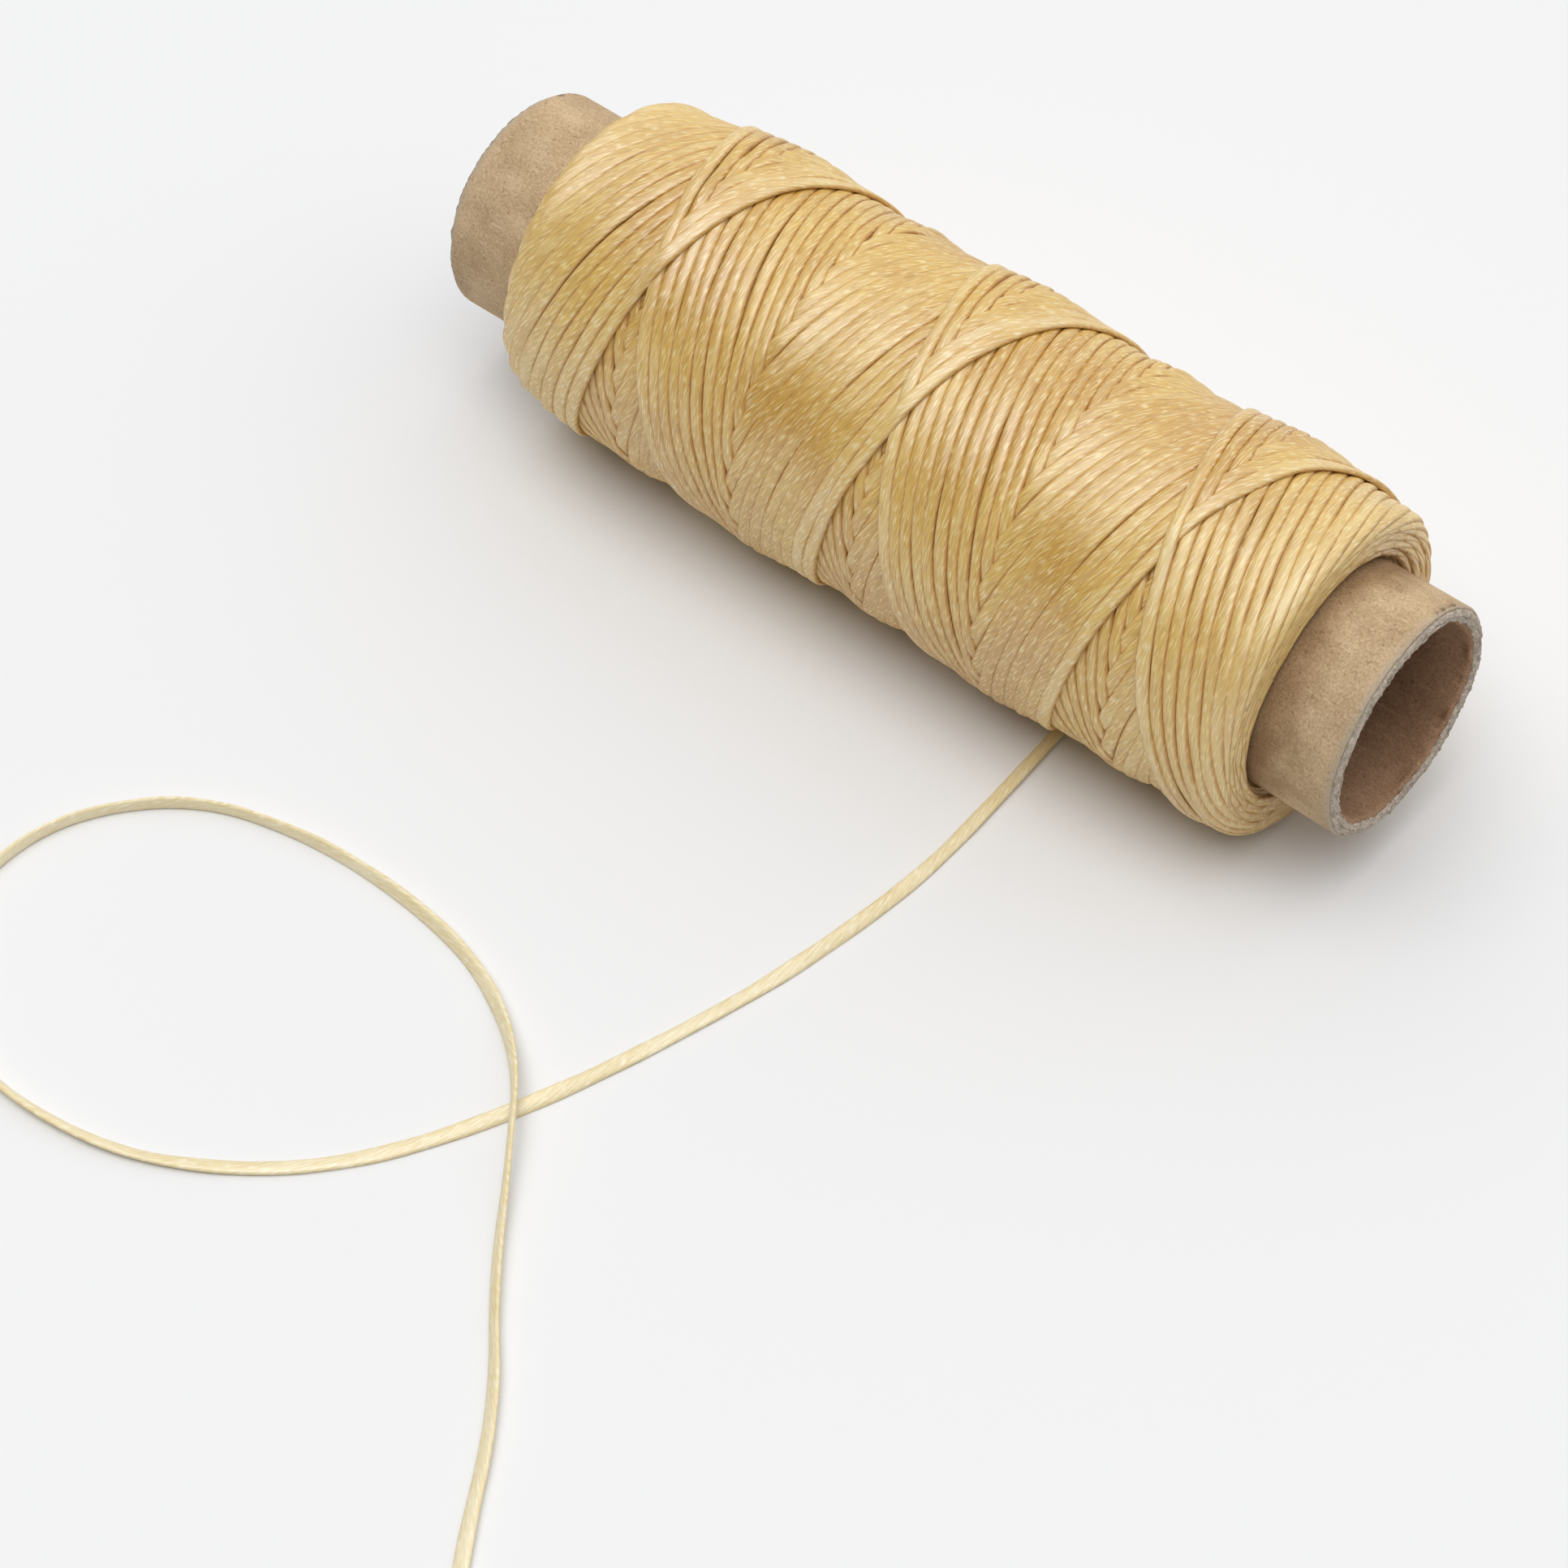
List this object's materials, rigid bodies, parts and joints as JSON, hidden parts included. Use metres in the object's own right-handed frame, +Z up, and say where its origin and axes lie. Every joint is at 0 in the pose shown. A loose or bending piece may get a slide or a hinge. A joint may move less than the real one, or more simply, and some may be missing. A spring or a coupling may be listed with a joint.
{
  "type": "waxed thread spool",
  "caption": "Cross-wound flat waxed sewing thread on a straight paperboard tube, lying on its side, with a loose thread end that loops over itself on the table.",
  "frame": {"origin": "on the table, under the middle of the spool", "axes": "+X along the spool's axis towards the end where the core stands out least; +Z up"},
  "size_m": [0.078, 0.0989, 0.0235],
  "materials": {
    "kraft_paper": "matt kraft paper with darker and lighter fibres",
    "grey_board": "rough-cut grey chipboard",
    "liner_paper": "matt brown paper",
    "waxed_thread": "silky waxed thread, pale golden straw"
  },
  "bodies": {
    "root": {"core_outer_ply": "kraft_paper", "core_board_outer_ply": "grey_board", "core_board_inner_ply": "grey_board", "core_inner_liner": "liner_paper", "thread_winding": "waxed_thread", "thread_tail": "waxed_thread"}
  },
  "joints": []
}
